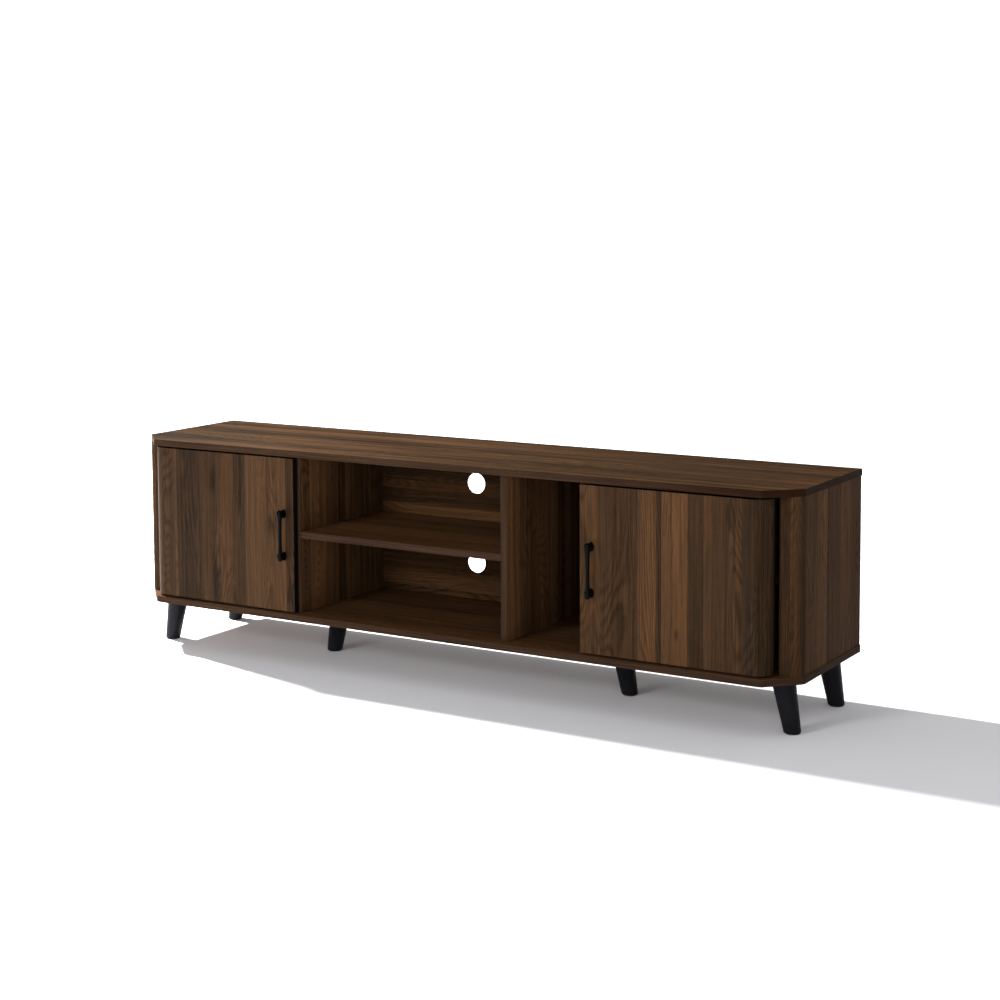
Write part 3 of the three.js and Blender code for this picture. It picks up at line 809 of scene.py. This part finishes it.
def lay_floor():
    """Pale matt floor, which glows white far from the stand."""
    graph = Graph("studio_floor")
    cloud = graph.noise(graph.coordinates.outputs["Object"], scale=1.6, detail=3.0)
    shade = graph.mix(graph.spread(cloud, 0.3, 0.7), *FLOOR_SHADES)
    x, y, _ = graph.split(graph.coordinates.outputs["Object"])
    squares = graph.math("ADD", graph.math("MULTIPLY", x, x), graph.math("MULTIPLY", y, y))
    distance = graph.math("SQRT", squares)
    glow = graph.spread(distance, GLOW_START, GLOW_FULL)
    material = graph.surface(
        Base_Color=shade, Roughness=0.85, Specular_IOR_Level=0.2, Emission_Color=(1, 1, 1, 1),
        Emission_Strength=glow)
    mesh_data = bmesh.new()
    bmesh.ops.create_grid(mesh_data, x_segments=8, y_segments=8, size=FLOOR_HALF_SIZE)
    mesh = bpy.data.meshes.new("floor")
    mesh_data.to_mesh(mesh)
    mesh_data.free()
    floor = bpy.data.objects.new("floor", mesh)
    bpy.context.scene.collection.objects.link(floor)
    mesh.materials.append(material)
    floor.location.z = -FLOOR_DROP


def light_world():
    """White surroundings with a strength of their own for each kind of ray."""
    world = bpy.data.worlds.new("studio")
    bpy.context.scene.world = world
    world.use_nodes = True
    tree = world.node_tree
    tree.nodes.clear()
    path = tree.nodes.new("ShaderNodeLightPath")
    shade = None
    for strength, ray in ((AMBIENT, None), (MIRRORED, "Is Glossy Ray"), (BACKDROP, "Is Camera Ray")):
        background = tree.nodes.new("ShaderNodeBackground")
        background.inputs["Color"].default_value = (1, 1, 1, 1)
        background.inputs["Strength"].default_value = strength
        if ray:
            mixed = tree.nodes.new("ShaderNodeMixShader")
            tree.links.new(path.outputs[ray], mixed.inputs[0])
            tree.links.new(shade, mixed.inputs[1])
            tree.links.new(background.outputs[0], mixed.inputs[2])
            shade = mixed.outputs[0]
        else:
            shade = background.outputs[0]
    out = tree.nodes.new("ShaderNodeOutputWorld")
    tree.links.new(shade, out.inputs[0])


def hang_lamps():
    for name, kind, watts, place, target, settings in LAMPS:
        data = bpy.data.lights.new(name, kind)
        data.energy = watts
        for key, value in settings.items():
            setattr(data, key, value)
        lamp = bpy.data.objects.new(name, data)
        bpy.context.scene.collection.objects.link(lamp)
        lamp.location = place
        lamp.rotation_euler = (Vector(target) - Vector(place)).to_track_quat("-Z", "Y").to_euler()


def aim_camera():
    """Camera at the photograph's viewing angle, slightly turned about its own axis."""
    azimuth, pitch, roll = (math.radians(a) for a in (CAMERA_AZIMUTH, CAMERA_PITCH, CAMERA_ROLL))
    level_share = math.cos(pitch)
    forward = Vector((-math.sin(azimuth) * level_share, math.cos(azimuth) * level_share, -math.sin(pitch)))
    right = forward.cross(Vector((0, 0, 1))).normalized()
    up = right.cross(forward)
    tilted_right = right * math.cos(roll) + up * math.sin(roll)
    tilted_up = up * math.cos(roll) - right * math.sin(roll)
    data = bpy.data.cameras.new("camera")
    data.sensor_width = SENSOR_WIDTH
    data.lens = FOCAL_SHARE * data.sensor_width
    data.shift_y = SHIFT_DOWN
    camera = bpy.data.objects.new("camera", data)
    bpy.context.scene.collection.objects.link(camera)
    turn = Matrix((tilted_right, tilted_up, -forward)).transposed().to_4x4()
    camera.matrix_world = Matrix.Translation(CAMERA_PLACE) @ turn
    bpy.context.scene.camera = camera


def show_plain_colours():
    """Leaves the render's colours as the materials give them, without a film look."""
    view = bpy.context.scene.view_settings
    view.view_transform = "Standard"
    view.look = "None"


# ---------------------------------------------------------------- assembly


BOARD_EDGE = 0.6 * MM
PLATE_EDGE = 0.4 * MM
CATCH_EDGE = 1.0 * MM
CATCH_EDGE_SEGMENTS = 3
STEEL_EDGE = 0.2 * MM


def dress_nodes(steel):
    """Gives every kept CAD node its material, soft edges and smooth shading."""
    plate_black = satin_black("plate_black", (0.014, 0.014, 0.014), roughness=0.5, grain=1400.0, specular=0.4)
    nylon = moulded("bush_nylon", (0.36, 0.35, 0.31), roughness=0.45)
    catch_plastic = moulded("catch_plastic", (0.016, 0.012, 0.010), roughness=0.5)
    boards = board_materials()
    for name, node in nodes.items():
        if name in boards:
            paint(node, boards[name])
            soften(node, 0 if name == "back_panel" else BOARD_EDGE)
        elif name.endswith("_leg_plate"):
            paint(node, plate_black)
            soften(node, PLATE_EDGE)
        elif "bush" in name:
            paint(node, nylon)
            soften(node, 0)
        elif "catch" in name:
            paint(node, catch_plastic)
            soften(node, CATCH_EDGE, CATCH_EDGE_SEGMENTS)
        elif any(word in name for word in ("pin", "bracket", "strike")):
            paint(node, steel)
            soften(node, STEEL_EDGE)


def add_pieces(steel):
    """Makes the handles, legs, screws and catch poles, on both sides."""
    leg_black = satin_black(
        "leg_black", (0.0072, 0.0069, 0.0083), roughness=0.40, grain=900.0, specular=0.045)
    gloss_black = satin_black(
        "handle_black", (0.0014, 0.0014, 0.0013), roughness=0.25, grain=700.0, specular=0.035)
    glide_plastic = moulded("glide_plastic", (0.03, 0.03, 0.03), roughness=0.6)
    for side in SIDES:
        handle(side, f"{side}_door", gloss_black)
        catch_poles(side, steel)
        for level in ("lower", "upper"):
            handle_screw(side, level, f"{side}_door", steel)
        for place in ("front", "middle", "rear"):
            leg(side, place, leg_black, glide_plastic)


zinc_steel = plated_steel("zinc_steel", (0.62, 0.62, 0.60), roughness=0.34)
dress_nodes(zinc_steel)
add_pieces(zinc_steel)
lay_floor()
light_world()
hang_lamps()
aim_camera()
show_plain_colours()
